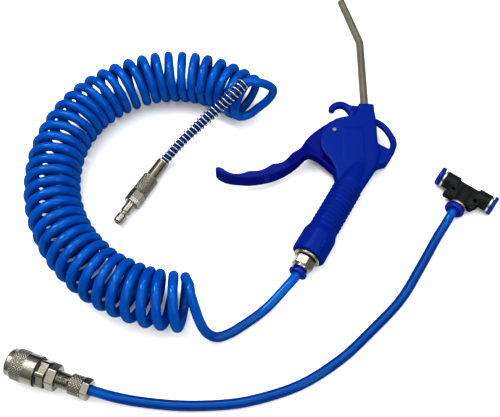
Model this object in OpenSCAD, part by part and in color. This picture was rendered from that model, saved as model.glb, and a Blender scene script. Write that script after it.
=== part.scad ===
// Coiled air hose kit: recoil hose with blow gun and quick plug, and a short
// adapter hose with a quick coupler and a push-in tee.
// Everything lies on the plane z = 0. X runs to the right, Y away, Z up.

/* [Hose] */
// Outside diameter of the hose
hose_d = 6.5; // [6.3:0.1:6.5]
// Outside diameter of the coil
coil_d = 39; // [37:1:39]

/* [Blow gun] */
// Outside diameter of the nozzle tube
nozzle_d = 6.5; // [6.1:0.1:6.5]
// Bore of the nozzle tube
nozzle_bore = 4.4; // [3.4:0.2:4.6]
// Length of the nozzle beyond its bend
nozzle_tip_l = 46; // [30:1:50]
// Thickness of the gun's body across the cheeks
body_t = 14; // [14:0.5:15]
// Width of the lever's grip
lever_t = 12; // [10:0.5:12]
// Width of the lever between the cheeks
lever_root = 8; // [7.6:0.1:8]

/* [Couplings] */
// Diameter of the plug's nipple
nipple_d = 7.6; // [7.4:0.1:7.6]
// Outside diameter of the coupler's sleeve
sleeve_d = 20.6; // [20:0.2:21]
// Diameter of the tee's screw holes
screw_d = 3.2; // [3:0.1:3.4]

/* [Hidden] */
$fn = 48;

// where the kit's own centre lies among the pieces
kit = [-11.5, -39, 0];
// the gun: centre of the handle's end, and the height of its axis
gun_pos = [40, -34, 12.2];
gun_turn = 60;
// the plug: end of its sleeve where the guard meets it
plug_pos = [-66.3, 47.5, 6.35];
plug_turn = -120;
// the coupler: centre of its mouth
coupler_pos = [-157.7, -106.3, 10.4];
coupler_turn = -19;
// the tee: crossing of its bores
tee_pos = [160.9, 21.5, 7.3];
tee_turn = -36.6;

bore_r = hose_d / 2 + 0.1;
coil_r = coil_d / 2;
hr = hose_d / 2;

// ---------- routes, in the kit's millimetres before the shift ----------
coil_pts = [[-1, 97, coil_r], [-20, 110, coil_r], [-37, 117, coil_r], [-55, 120, coil_r], [-73, 119, coil_r],
  [-90, 114, coil_r], [-107, 105, coil_r], [-121, 93, coil_r], [-132, 78, coil_r], [-140, 59, coil_r],
  [-143.5, 39, coil_r], [-143, 19, coil_r], [-139.5, 2, coil_r], [-133, -14, coil_r], [-123, -30, coil_r],
  [-110, -44, coil_r], [-97, -54, coil_r], [-81, -62, coil_r], [-65, -67.5, coil_r], [-42, -71, coil_r]];

tail_gun_pts = [[-42, -61, 32], [-39, -66, 33.5], [-37, -73, 31], [-35, -79, 25], [-32.5, -84, 17],
  [-28.5, -88, 9.5], [-22, -89.5, 4.8], [-13.5, -86.5, 3.6], [-4, -80.5, 3.6], [6, -73.5, 4.4],
  [14, -67, 6.5], [22, -59, 9.5], [28.5, -51.5, 11.6]];
tail_plug_pts = [[-4, 93, 4.4], [2.5, 90.5, 6.5], [10, 90.5, 12], [16, 91.5, 19.5], [19.5, 93.5, 27],
  [19.5, 95.5, 34], [15.5, 97.5, 40], [8, 98, 43.6], [1, 96.7, 44.6], [-4.5, 93, 44]];
guard_pts = [[-4.5, 93, 44], [-12.5, 85.5, 41.5], [-20, 80.5, 36.8], [-28, 76, 31.2], [-35.5, 71.5, 26],
  [-43, 66.5, 21], [-51, 61, 16.2], [-58, 55, 11.6], [-63, 50.5, 8.2], [-66.1, 47.8, 6.5]];
adapter_pts = [[-96, -126, 7.8], [-88.5, -128.5, 5], [-78, -130.5, 3.5], [-63, -132.5, 3.3], [-46, -134, 3.3],
  [-27, -134, 3.3], [0, -131, 3.3], [32, -121, 3.3], [59, -104.5, 3.3], [80, -86, 3.3],
  [103, -63, 3.3], [119.5, -39, 3.3], [134, -16, 3.5], [142, -4.5, 4.6]];

// ---------- helpers ----------
function unit(v) = v / norm(v);
function at(p, i) = p[max(0, min(len(p) - 1, i))];
// a point on the smooth curve through the route's points
function cr(a, b, c, d, t) = 0.5 * ((2 * b) + (c - a) * t + (2 * a - 5 * b + 4 * c - d) * t * t + (3 * b - a - 3 * c + d) * t * t * t);
function smooth(p, n) = concat([for (i = [0:len(p) - 2]) for (k = [0:n - 1])
    cr(at(p, i - 1), at(p, i), at(p, i + 1), at(p, i + 2), k / n)], [p[len(p) - 1]]);
function tang(p, i) = unit(at(p, i + 1) - at(p, i - 1));
// a point at angle a and distance r round the curve's point i; up is the reference direction
function around(p, i, a, r, up) = let (t = tang(p, i), s = unit(cross(t, up)), w = cross(s, t))
    p[i] + r * (cos(a) * w + sin(a) * s);

// solid tube along points p, with n sides
module tube(p, r, n, up = [0, 0, 1]) {
  m = len(p);
  polyhedron(
    points = [for (i = [0:m - 1]) for (k = [0:n - 1]) around(p, i, k * 360 / n, r, up)],
    faces = concat(
      [[for (k = [0:n - 1]) n - 1 - k]],
      [for (i = [0:m - 2]) for (k = [0:n - 1]) for (f = [0:1])
        let (a = i * n + k, b = i * n + (k + 1) % n, c = a + n, d = b + n) f == 0 ? [a, b, d] : [a, d, c]],
      [[for (k = [0:n - 1]) (m - 1) * n + k]]));
}

// helical wire along points p: turns, mean radius, wire radius
module wire_along(p, turns, mr, wr, up = [0, 0, 1], per = 10, n = 5) {
  q = smooth(p, 6);
  m = len(q) - 1;
  steps = turns * per;
  h = [for (j = [0:steps]) let (s = j * m / steps, i = min(m - 1, floor(s)), f = s - i,
      a = around(q, i, j * 360 / per, mr, up), b = around(q, i + 1, j * 360 / per, mr, up)) a + (b - a) * f];
  tube(h, wr, n, unit(q[m] - q[0]));
}

// straight helical spring along +X, with closed length l
module spring_x(x0, l, turns, mr, wr, per = 12, n = 6) {
  steps = turns * per;
  h = [for (j = [0:steps]) [x0 + wr + (l - 2 * wr) * j / steps, mr * cos(j * 360 / per), mr * sin(j * 360 / per)]];
  tube(h, wr, n, [1, 0, 0]);
}

// revolve about X: the profile's points are [x, r]
module rev_x(pts) { rotate([90, 0, 90]) rotate_extrude() polygon([for (q = pts) [q[1], q[0]]]); }
module rod_x(x0, x1, r) { translate([x0, 0, 0]) rotate([0, 90, 0]) cylinder(r = r, h = x1 - x0); }
module pipe_x(x0, x1, ro, ri) { difference() { rod_x(x0, x1, ro); rod_x(x0 - 1, x1 + 1, ri); } }
module hex_x(x0, x1, af) { translate([x0, 0, 0]) rotate([0, 90, 0]) rotate([0, 0, 30]) cylinder(r = af / 2 / cos(30), h = x1 - x0, $fn = 6); }
module round_hex_x(x0, x1, af, c) {
  rc = af / 2 / cos(30);
  intersection() {
    hex_x(x0, x1, af);
    rotate([7, 0, 0]) rev_x([[x0 - 1, 0], [x0 - 1, rc - c - 1.6], [x0 + 1, rc - c + 1.6], [x1 - 1, rc - c + 1.6], [x1 + 1, rc - c - 1.6], [x1 + 1, 0]]);
  }
}
module oring_x(x, mr, wr) { translate([x, 0, 0]) rotate([0, 90, 0]) rotate_extrude() translate([mr, 0]) circle(r = wr, $fn = 24); }

module gun_at() { translate(kit + gun_pos) rotate([0, 0, gun_turn]) children(); }
module plug_at() { translate(kit + plug_pos) rotate([0, 0, plug_turn]) children(); }
module coupler_at() { translate(kit + coupler_pos) rotate([0, 0, coupler_turn]) children(); }
module tee_at() { translate(kit + tee_pos) rotate([0, 0, tee_turn]) children(); }
// the tee's three ports, each drawn along +X from the crossing
module port(k) { rotate([0, 0, k == 0 ? 180 : k == 1 ? 0 : -90]) children(); }

// ---------- blow gun ----------
// in the gun's own frame X runs up the handle, Y towards the lever, Z across the cheeks
ribs = 12;
rib_p = 3.45;
handle_profile = concat(
  [[0, 0], [0, 11.4], [0.9, 12.2], [18, 12.2], [19.2, 11.9], [23.6, 10.4]],
  [for (i = [0:ribs - 1]) for (k = [0:2]) [24.2 + (i + k / 3) * rib_p + (k == 2 ? 0.4 : 0.3), k == 0 ? 10.5 : k == 1 ? 10.5 : 9.7]],
  [[66.2, 10.2], [70, 10], [77, 9], [84, 7.8], [88, 7.1], [88, 0]]);
body_outline = [[62, 8.8], [66.2, 11.4], [70.3, 14.6], [73.5, 17.9], [76.3, 21.8], [78.5, 26.8], [81.6, 31.8], [85.4, 34.7], [90.4, 37], [95.8, 37.9],
  [101.3, 37.7], [106.6, 36.5], [110.9, 34.8], [113.6, 32.8], [116.8, 29.2], [120.6, 25.1], [126.6, 23.4], [133.3, 25.7],
  [139, 15.1], [133.8, 11.9], [127.9, 7.8], [119.6, 3.3], [107.7, -3], [101.2, -7.1], [94, -9.6], [88, -10.6], [80, -10.3], [73, -9.8], [66, -9.4]];
lug_outline = [[108.4, 0.4], [108.4, -2.9], [107.9, -12.6], [110.8, -14.4], [110.2, -16.8], [105.4, -16.6], [98.1, -16.5],
  [95.1, -15.8], [91.1, -11.4], [86.3, -9.9], [80.7, -9.3], [76, -8], [80, 0]];
hook_root = [[131.4, 32.2], [133.9, 26], [129.2, 21.6], [121.7, 24.9]];
hook_line = [[122.2, 42.5], [125.1, 42.2], [127.8, 40.6], [129.5, 38.4], [130.1, 35.1], [129.3, 31.7], [127.3, 28.3], [123.2, 24.4]];
loop_line = [[128.4, 9.6], [128.2, 4.4], [127, -0.4], [124.1, -5.4], [120.4, -10], [116.2, -13.3], [111, -14.6], [105.5, -14.4]];
lever_outline = [[116.8, 26.5], [117, 30], [115, 33], [112, 35.6], [108.3, 37.8], [103.9, 39.6], [99.4, 41.6], [94.6, 43.4], [89.5, 44.9],
  [84.6, 45.7], [81.5, 45.8], [77.5, 45.6], [74.3, 46], [70.8, 47.6], [68.1, 48.8], [64.4, 49.3], [60.5, 49.8], [57, 51],
  [54.1, 53.3], [52.6, 55.6], [51, 57.2], [48, 58.3], [44.7, 60], [42.2, 62], [40.4, 64], [38.8, 66.8], [37.1, 69.4],
  [34.6, 71], [32.5, 73.2], [30.4, 76], [29.4, 79.5], [29.2, 83], [29.8, 87], [29.6, 90], [28, 91.5], [26.2, 91], [25, 89], [24.6, 86.5],
  [24.8, 81.7], [26.6, 75.5], [29.4, 69.6], [31.8, 65], [34.8, 60.8], [38, 57], [42, 53], [46.6, 49.4], [51.5, 46.3], [57.6, 43.4],
  [64.5, 40.9], [69, 39.9], [72, 39.2], [74, 37.4], [74.6, 34.6], [74.2, 31], [73.4, 27], [71, 19], [69.6, 14.4],
  [69.2, 12], [70.4, 11.2], [76, 12.9], [82, 14.75], [88, 16.6], [93.5, 18.2], [98.6, 18.6], [106, 19.5], [112.5, 22]];
pin_xy = [101.4, 30.6];
// the valve's line, from the lever's inner edge into the body
valve_xy = [82, 14];
valve_turn = -60;
head_turn = 28.6;
nozzle_xy = [141.6, 23.6];
module valve_line() { translate([valve_xy[0], valve_xy[1], 0]) rotate([0, 0, valve_turn]) children(); }
module nozzle_line() { translate([nozzle_xy[0], nozzle_xy[1], 0]) rotate([0, 0, head_turn]) children(); }

// outline of a strip of half width h along the flat line p
function side(p, i) = let (t = tang(p, i)) [-t[1], t[0]];
function strip(p, h) = concat([for (i = [0:len(p) - 1]) p[i] + h * side(p, i)], [for (i = [len(p) - 1:-1:0]) p[i] - h * side(p, i)]);
module slab(t) { translate([0, 0, -t / 2]) linear_extrude(t) children(); }

module gun_body() color([0.05, 0.08, 0.72]) gun_at() difference() {
  union() {
    rev_x(handle_profile);
    slab(body_t) polygon(body_outline);
    slab(10) polygon(lug_outline);
    slab(6) polygon(hook_root);
    slab(5.6) polygon(strip(smooth(hook_line, 2), 2.4));
    slab(5.6) translate(hook_line[0]) circle(r = 2.7);
    slab(4.4) polygon(strip(smooth(loop_line, 2), 2.1));
    slab(5.8) polygon(strip(smooth([for (i = [4:7]) loop_line[i]], 2), 2.2));
    slab(7.2) polygon(strip(smooth([for (i = [5:7]) loop_line[i]], 2), 2.3));
  }
  // slot for the lever, open on the lever's side
  slab(lever_root + 1) polygon([[64, 60], [64, 13.5], [67.4, 12], [70.8, 5.8], [76, 4.2], [80, 6.6], [88, 10.6], [94, 14], [112, 20], [112, 60]]);
  translate([pin_xy[0], pin_xy[1], -lever_root / 2 - 0.5]) cylinder(r = 16.6, h = lever_root + 1, $fn = 96);
  translate([pin_xy[0], pin_xy[1], -20]) cylinder(d = 3, h = 40);
  // valve chamber and galleries
  valve_line() rod_x(5, 24, 4.5);
  translate([0, 4.5, 0]) rod_x(87.5, 107, 1.9);
  nozzle_line() rod_x(-40.5, -17, 1.9);
  translate([0, -1.6, 0]) rod_x(16, 91, 2.2);
  // socket for the insert, and socket and seal groove for the nozzle
  rod_x(-1, 17.5, 7);
  nozzle_line() rod_x(-18, 5, nozzle_d / 2);
  nozzle_line() rod_x(-16.4, -14.4, nozzle_d / 2 + 1.4);
}
module trigger_lever() color([0.05, 0.08, 0.72]) gun_at() difference() {
  union() {
    slab(lever_root) polygon(lever_outline);
    // the grip thins towards the cheeks
    difference() {
      slab(lever_t) polygon(lever_outline);
      for (s = [0, 1]) mirror([0, 0, s]) translate([78, 36, lever_root / 2]) rotate([0, 0, -28.8]) rotate([0, atan((lever_t - lever_root) / 45), 0])
        translate([-80, -80, 0]) cube([160, 160, 20]);
    }
  }
  // pockets beside the web at the root
  for (s = [-1, 1]) translate([0, 0, s * (1.6 + 5)]) slab(10) polygon([[72.6, 15.6], [74.4, 22], [75.8, 27.5], [84, 27.5], [86, 20], [78, 15.2]]);
  translate([pin_xy[0], pin_xy[1], -20]) cylinder(d = 3.1, h = 40);
}
module lever_pin() color("silver") gun_at() translate([pin_xy[0], pin_xy[1], -body_t / 2]) cylinder(d = 3, h = body_t);
// the nozzle's straight lengths meet in a bend of 22 mm radius
bend_r = 22;
bend_a = 16.2;
straight_l = 59;
module nozzle_shape(r, e, lap) {
  rod_x(-18 - e, straight_l, r);
  translate([straight_l, bend_r, 0]) {
    // the bend laps over both straight lengths and is a hair thicker
    rotate([0, 0, -90 - lap]) rotate_extrude(angle = bend_a + 2 * lap, $fn = 180) translate([bend_r, 0]) circle(r = r + 0.05, $fn = 48);
    rotate([0, 0, bend_a]) translate([0, -bend_r, 0]) rod_x(0, nozzle_tip_l + e, r);
  }
}
module nozzle_tube() color([0.45, 0.43, 0.35]) gun_at() nozzle_line() difference() {
  nozzle_shape(nozzle_d / 2, 0, 1.5);
  nozzle_shape(nozzle_bore / 2, 1, 2.5);
}
module nozzle_oring() color("black") gun_at() nozzle_line() oring_x(-15.4, nozzle_d / 2 + 0.72, 0.68);

module valve_bush() color("goldenrod") gun_at() difference() {
  valve_line() difference() {
    rod_x(6.6, 14.2, 4.5);
    rod_x(6, 15, 1.55);
    rod_x(9.4, 15, 2.8);
  }
  translate([0, 4.5, 0]) rod_x(87.5, 100, 1.5);
}
module valve_stem() color("silver") gun_at() valve_line() union() {
  rod_x(1.15, 18.4, 1.5);
  translate([1.15, 0, 0]) sphere(r = 1.5);
  rod_x(15.2, 16.4, 3.6);
}
module valve_seal() color("black") gun_at() valve_line() pipe_x(14.25, 15.2, 3.6, 1.5);
module valve_spring() color("silver") gun_at() valve_line() spring_x(16.5, 7.4, 5, 2.7, 0.4);

module inlet_insert() color([0.75, 0.73, 0.68]) gun_at() difference() {
  rev_x([[-2.3, 0], [-2.3, 8.6], [-1.9, 9.4], [-0.4, 9.4], [0, 9.2], [0, 7], [17, 7], [17, 0]]);
  rod_x(-5, 20, 5);
}
module inlet_gasket() color("black") gun_at() pipe_x(-3, -2.3, 6.6, 5.05);
module inlet_fitting() color([0.78, 0.76, 0.7]) gun_at() difference() {
  union() {
    round_hex_x(-9.2, -3, 14, 0.7);
    rod_x(-3.1, 9, 4.95);
    rev_x([[-11.2, 0], [-11.2, 5.8], [-10.8, 6.2], [-9.1, 6.2], [-9.1, 0]]);
  }
  rod_x(-12, -3.6, 5);
  rod_x(-5, 3, bore_r);
  rod_x(0, 10, 2.25);
}
module inlet_oring() color("black") gun_at() oring_x(-4.5, 4.2, 0.78);
module inlet_grab_ring() color("silver") gun_at() pipe_x(-6.9, -6.3, 5, 3.5);
module release_ring(x, r, l, t) {
  // x is the outer face, t the flange's thickness; the ring slides along X, and its sleeve reaches in by l
  difference() {
    union() {
      rev_x([[x - t, 0], [x - t, r - 0.3], [x - t + 0.4, r], [x - 0.6, r], [x, r - 0.6], [x, 0]]);
      rod_x(x - l, x - t + 0.1, 4.3);
    }
    rod_x(x - 8, x + 1, 3.55);
  }
}
module inlet_release_ring() color([0.1, 0.1, 0.6]) gun_at() mirror([1, 0, 0]) release_ring(15.8, 6.5, 6.9, 2.3);

// ---------- recoil hose ----------
module coil_hose() color([0.02, 0.3, 0.85]) translate(kit) tube(smooth(coil_pts, 2), coil_r, 16);
gun_out = [gun_pos[0], gun_pos[1], gun_pos[2]];
function from_gun(u) = gun_out + u * [cos(gun_turn), sin(gun_turn), 0];
function from_plug(u) = plug_pos + u * [cos(plug_turn), sin(plug_turn), 0];
function from_coupler(u) = coupler_pos + u * [cos(coupler_turn), sin(coupler_turn), 0];
function from_branch(u) = tee_pos + u * [cos(tee_turn - 90), sin(tee_turn - 90), 0];
module hose_tail_gun() color([0.02, 0.3, 0.85]) translate(kit)
  tube(concat(smooth(concat(tail_gun_pts, [from_gun(-16.5)]), 2), [from_gun(-10), from_gun(2.9)]), hr, 10);
module hose_tail_plug() color([0.02, 0.3, 0.85]) translate(kit)
  tube(concat(smooth(tail_plug_pts, 2), [for (i = [1:len(guard_pts) - 1]) guard_pts[i]], [from_plug(8), from_plug(25.8)]), hr, 10, [0, 1, 0]);
module spring_guard() color("silver") translate(kit) wire_along(guard_pts, 25, 4.45, 0.6, [0, 1, 0]);

module plug_sleeve() color([0.7, 0.68, 0.62]) plug_at() difference() {
  rev_x([[0, 0], [0, 4.4], [0.4, 4.8], [17.6, 4.8], [17.6, 5.3], [19, 5.3], [19, 0]]);
  rod_x(-1, 20, bore_r + 0.1);
}
module plug_nut() color([0.7, 0.68, 0.62]) plug_at() difference() {
  union() {
    rev_x([[16.2, 0], [16.2, 5.7], [16.8, 6.25], [32.4, 6.25], [32.4, 0]]);
    round_hex_x(32.3, 38, 11.4, 0.5);
  }
  rod_x(15, 17.6, 4.85);
  rod_x(17.6, 39, 5.35);
}
module plug_ferrule() color("goldenrod") plug_at() difference() {
  rev_x([[19.1, 0], [19.1, 5.3], [21.4, 5.3], [23.6, 4.5], [23.6, 0]]);
  rod_x(19, 24, bore_r + 0.1);
}
module plug_body() color([0.75, 0.73, 0.68]) plug_at() difference() {
  union() {
    rod_x(23.8, 38.1, 5.3);
    round_hex_x(38.1, 41.8, 11.4, 0.5);
    rev_x([[41.7, 0], [41.7, nipple_d / 2], [50, nipple_d / 2], [50.6, nipple_d / 2 - 0.9], [52.4, nipple_d / 2 - 0.9],
      [53.2, nipple_d / 2], [57.6, nipple_d / 2], [58.4, nipple_d / 2 - 0.9], [58.4, 0]]);
  }
  rod_x(23, 26, bore_r + 0.1);
  rod_x(25, 60, 1.9);
}

// ---------- adapter hose ----------
module adapter_hose() color([0.02, 0.3, 0.85]) translate(kit)
  tube(concat([from_coupler(50.2), from_coupler(58)], smooth(concat([from_coupler(62)], adapter_pts, [from_branch(24)]), 2),
    [from_branch(17), from_branch(5.7)]), hr, 10);

module coupler_sleeve() color([0.62, 0.6, 0.55]) coupler_at() difference() {
  rev_x([[2, 0], [2, 8.3], [2.5, 8.8], [3.6, 9.1], [6.4, 9.3], [7.6, sleeve_d / 2], [16.4, sleeve_d / 2],
    [16.8, sleeve_d / 2 - 0.2], [23.8, sleeve_d / 2 - 0.2], [24.2, sleeve_d / 2 - 0.4], [24.2, 0]]);
  rod_x(1, 4.6, 8.1);
  rod_x(1, 25, 7.35);
  // room for the balls when the sleeve is pulled back
  rod_x(4.9, 7.4, 8.4);
  rod_x(14.6, 25, 8.9);
  rod_x(18, 25, 9.65);
}
module coupler_socket() color([0.7, 0.68, 0.62]) coupler_at() difference() {
  rev_x([[2.6, 0], [2.6, 6.6], [3.1, 7.3], [22.8, 7.3], [22.8, 0]]);
  rod_x(0, 16.5, nipple_d / 2 + 0.1);
  rod_x(15.9, 24, 5.2);
  rod_x(19.9, 24, 6.1);
  rod_x(13, 15, 5.7);
  // groove for the snap ring, holes for the balls
  pipe_x(3.4, 4.4, 9, 6.9);
  for (a = [45:90:315]) rotate([a, 0, 0]) translate([9.5, 0, 0]) cylinder(d = 2.5, h = 9);
}
module coupler_retaining_ring() color("dimgray") coupler_at() difference() {
  pipe_x(3.45, 4.35, 7.75, 6.9);
  translate([2, 0, 4]) cube([8, 2, 10], center = true);
}
module coupler_balls() color("silver") coupler_at() for (a = [45:90:315]) rotate([a, 0, 0]) translate([9.5, 0, 5.9]) sphere(r = 1.2, $fn = 32);
module coupler_seal() color("black") coupler_at() oring_x(14, 4.78, 0.8);
module coupler_poppet() color("goldenrod") coupler_at() union() {
  rev_x([[16, 0], [16, 2.5], [16.2, 2.9], [16.55, 2.9], [16.55, 4.7], [18.1, 4.7], [18.1, 0]]);
  rod_x(18, 26.3, 1.5);
}
module coupler_poppet_seal() color("black") coupler_at() pipe_x(15.95, 16.55, 4.7, 2.9);
module coupler_poppet_spring() color("silver") coupler_at() spring_x(18.15, 10.8, 5, 3.6, 0.45);
module coupler_sleeve_spring() color("silver") coupler_at() spring_x(14.7, 8.1, 4, 8.05, 0.45, 16);
module coupler_rear_ring() color("black") coupler_at() pipe_x(24.35, 26.35, 9.1, 7.35);
module coupler_barrel() color([0.68, 0.66, 0.6]) coupler_at() difference() {
  union() {
    rod_x(20, 24.4, 6.1);
    rod_x(22.85, 24.35, 8.6);
    rod_x(24.3, 26.5, 7.3);
    round_hex_x(26.4, 31.2, 16.2, 0.6);
    rod_x(31.1, 50, 5.3);
  }
  rod_x(19, 29, 5.2);
  rod_x(28, 51, 2.1);
}
module coupler_washer() color("black") coupler_at() pipe_x(31.2, 31.95, 8.4, 5.35);
module coupler_lock_nut() color([0.75, 0.73, 0.68]) coupler_at() difference() {
  round_hex_x(31.95, 37.8, 15.6, 0.8);
  rod_x(31, 39, 5.35);
}
module coupler_nut() color([0.7, 0.68, 0.62]) coupler_at() difference() {
  union() {
    rev_x([[46.9, 0], [46.9, 6.1], [47.5, 6.75], [55.8, 6.75], [55.8, 0]]);
    round_hex_x(55.6, 60.3, 12.4, 0.7);
  }
  rod_x(46, 57, 5.35);
  rod_x(56, 61, bore_r + 0.1);
}
module coupler_ferrule() color("goldenrod") coupler_at() difference() {
  rev_x([[50.1, 0], [50.1, 4.6], [52, 5.3], [56.9, 5.3], [56.9, 0]]);
  rod_x(50, 57, bore_r + 0.1);
}

// ---------- push-in tee ----------
arm_l = 18.1;
branch_l = 15.8;
screw_xy = [8.9, -6.9];
function port_l(k) = k == 2 ? branch_l : arm_l;
// outer face of each port's release ring; the right one is pushed farther in
function ring_x(k) = port_l(k) + (k == 1 ? 4.4 : 5.4);
module tee_body() color([0.08, 0.08, 0.08]) tee_at() difference() {
  union() {
    rod_x(-9, 9, 4.5);
    rod_x(7.8, arm_l, 6.3);
    rod_x(-arm_l, -7.8, 6.3);
    slab(9) polygon([[-9, 2.6], [9, 2.6], [12.4, 0], [12.4, -7.6], [10.6, -10.2], [6.2, -13], [-6.2, -13], [-10.6, -10.2], [-12.4, -7.6], [-12.4, 0]]);
    // pegs beside the branch
    slab(6) polygon([[6, -6], [11.2, -6], [11, -11.2], [9.6, -13.4], [7.6, -13.6], [6, -12.4]]);
    slab(6) polygon([[-6, -6], [-6, -12], [-8.4, -12.8], [-12.2, -13.2], [-13.8, -11.6], [-12.6, -9.4], [-12.4, -6]]);
    for (s = [-1, 1]) translate([s * screw_xy[0], screw_xy[1], -5]) cylinder(r = 3.1, h = 10);
    port(2) rod_x(0, branch_l, 6.5);
  }
  for (k = [0:2]) port(k) {
    rod_x(port_l(k) - 8, port_l(k) + 1, 5);
    rod_x(5.5, port_l(k), bore_r);
    rod_x(0, 8, 2.2);
  }
  sphere(r = 2.2);
  for (s = [-1, 1]) translate([s * screw_xy[0], screw_xy[1], -10]) cylinder(d = screw_d, h = 20);
}
module tee_bands() color([0.78, 0.76, 0.7]) tee_at() for (k = [0:2]) port(k) pipe_x(port_l(k), port_l(k) + 1.2, k == 2 ? 6.8 : 6.4, 4.7);
module tee_orings() color("black") tee_at() for (k = [0:2]) port(k) oring_x(port_l(k) - 7.1, 4.2, 0.78);
module tee_grab_rings() color("silver") tee_at() for (k = [0:2]) port(k) pipe_x(port_l(k) - 3.4, port_l(k) - 2.8, 5, 3.5);
module tee_release_ring_left() color([0.1, 0.1, 0.6]) tee_at() port(0) release_ring(ring_x(0), 7.2, 6.9, 2.9);
module tee_release_ring_right() color([0.1, 0.1, 0.6]) tee_at() port(1) release_ring(ring_x(1), 7.2, 5.9, 2.9);
module tee_release_ring_branch() color([0.1, 0.1, 0.6]) tee_at() port(2) release_ring(ring_x(2), 7.2, 6.9, 2.9);

gun_body();
trigger_lever();
lever_pin();
nozzle_tube();
nozzle_oring();
valve_bush();
valve_stem();
valve_seal();
valve_spring();
inlet_insert();
inlet_fitting();
inlet_gasket();
inlet_oring();
inlet_grab_ring();
inlet_release_ring();
coil_hose();
hose_tail_gun();
hose_tail_plug();
spring_guard();
plug_sleeve();
plug_nut();
plug_ferrule();
plug_body();
adapter_hose();
coupler_nut();
coupler_ferrule();
coupler_barrel();
coupler_lock_nut();
coupler_washer();
coupler_socket();
coupler_sleeve();
coupler_rear_ring();
coupler_sleeve_spring();
coupler_retaining_ring();
coupler_balls();
coupler_seal();
coupler_poppet();
coupler_poppet_seal();
coupler_poppet_spring();
tee_body();
tee_bands();
tee_orings();
tee_grab_rings();
tee_release_ring_left();
tee_release_ring_right();
tee_release_ring_branch();
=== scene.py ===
import bpy
import math
import numpy as np
from mathutils import Matrix, Vector


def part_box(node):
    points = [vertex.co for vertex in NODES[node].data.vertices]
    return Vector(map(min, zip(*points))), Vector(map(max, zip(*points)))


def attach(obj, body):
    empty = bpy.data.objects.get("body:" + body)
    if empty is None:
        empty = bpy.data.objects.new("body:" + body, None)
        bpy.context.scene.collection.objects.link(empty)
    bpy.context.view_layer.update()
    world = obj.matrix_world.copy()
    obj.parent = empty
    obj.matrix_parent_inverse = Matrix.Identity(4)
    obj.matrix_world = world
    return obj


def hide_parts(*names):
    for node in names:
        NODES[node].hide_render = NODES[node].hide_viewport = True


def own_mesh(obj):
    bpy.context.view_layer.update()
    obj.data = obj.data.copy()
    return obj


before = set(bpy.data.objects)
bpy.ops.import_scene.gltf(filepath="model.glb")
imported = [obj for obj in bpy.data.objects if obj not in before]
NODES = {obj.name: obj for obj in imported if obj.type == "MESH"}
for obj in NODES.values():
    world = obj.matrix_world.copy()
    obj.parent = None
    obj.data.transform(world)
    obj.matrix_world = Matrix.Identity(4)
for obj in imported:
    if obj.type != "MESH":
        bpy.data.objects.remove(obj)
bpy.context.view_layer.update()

scene = bpy.context.scene
MM = 0.001
KIT = Vector((-11.5, -39.0, 0.0))


def P(x, y, z=0.0):
    """A point of the laid-out kit, given in its own millimetres."""
    return (Vector((x, y, z)) + KIT) * MM


def place(pos, turn):
    return Matrix.Translation(P(*pos)) @ Matrix.Rotation(math.radians(turn), 4, "Z")


GUN = place((40, -34, 12.2), 60)
PLUG = place((-66.3, 47.5, 6.35), -120)
COUPLER = place((-157.7, -106.3, 10.4), -19)
TEE = place((160.9, 21.5, 7.3), -36.6)
HOSE_R = 3.25
TUBE_R = 3.35
COIL_R = 16.25

# ---------------------------------------------------------------- camera
elev = math.radians(61.0)
forward = Vector((0, math.cos(elev), -math.sin(elev)))
cam = bpy.data.cameras.new("camera")
cam.sensor_fit = "HORIZONTAL"
cam.sensor_width = 36.0
cam.lens = 667.68 / 500 * 36
cam.clip_start = 0.01
cam.clip_end = 20
camera = bpy.data.objects.new("camera", cam)
scene.collection.objects.link(camera)
camera.location = P(0, 0, 19.5) - forward * 0.47407
camera.rotation_euler = (math.radians(90) - elev, 0, 0)
scene.camera = camera

# ---------------------------------------------------------------- routes, as in part.scad
coil_pts = [[-1, 97], [-20, 110], [-37, 117], [-55, 120], [-73, 119],
            [-90, 114], [-107, 105], [-121, 93], [-132, 78], [-140, 59],
            [-143.5, 39], [-143, 19], [-139.5, 2], [-133, -14], [-123, -30],
            [-110, -44], [-97, -54], [-81, -62], [-65, -67.5], [-42, -71]]
tail_gun_pts = [[-42, -61, 32], [-39.3, -64, 33.2], [-38, -71, 33], [-35.4, -78, 27.2], [-32.5, -84, 18],
                [-28.5, -88, 9.5], [-22, -89.5, 4.8], [-13.5, -86.5, 3.6], [-4, -80.5, 3.6], [6, -73.5, 4.4],
                [14, -67, 6.5], [22, -59, 9.5], [28.5, -51.5, 11.6]]
tail_plug_pts = [[-7.6, 85.2, 13.7], [-0.7, 87.5, 13.3], [6.2, 91, 17], [12.4, 93.5, 21.5], [16.6, 95.6, 26.5],
                 [17.6, 96.6, 32], [14.8, 96.3, 37], [8.6, 95.5, 41.5], [1.5, 94.4, 44], [-4.5, 93, 44]]
guard_pts = [[-4.5, 93, 44], [-12.5, 85.5, 41.5], [-20, 80.5, 36.8], [-28, 76, 31.2], [-35.5, 71.5, 26],
             [-43, 66.5, 21], [-51, 61, 16.2], [-58, 55, 11.6], [-63, 50.5, 8.2], [-66.1, 47.8, 6.5]]
adapter_pts = [[-96, -126, 7.8], [-88.5, -128.5, 5], [-78, -130.5, 3.5], [-63, -132.5, 3.3], [-46, -134, 3.3],
               [-27, -134, 3.3], [0, -131, 3.3], [32, -121, 3.3], [59, -104.5, 3.3], [80, -86, 3.3],
               [103, -63, 3.3], [119.5, -39, 3.3], [134, -16, 3.5], [142, -4.5, 4.6]]


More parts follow.
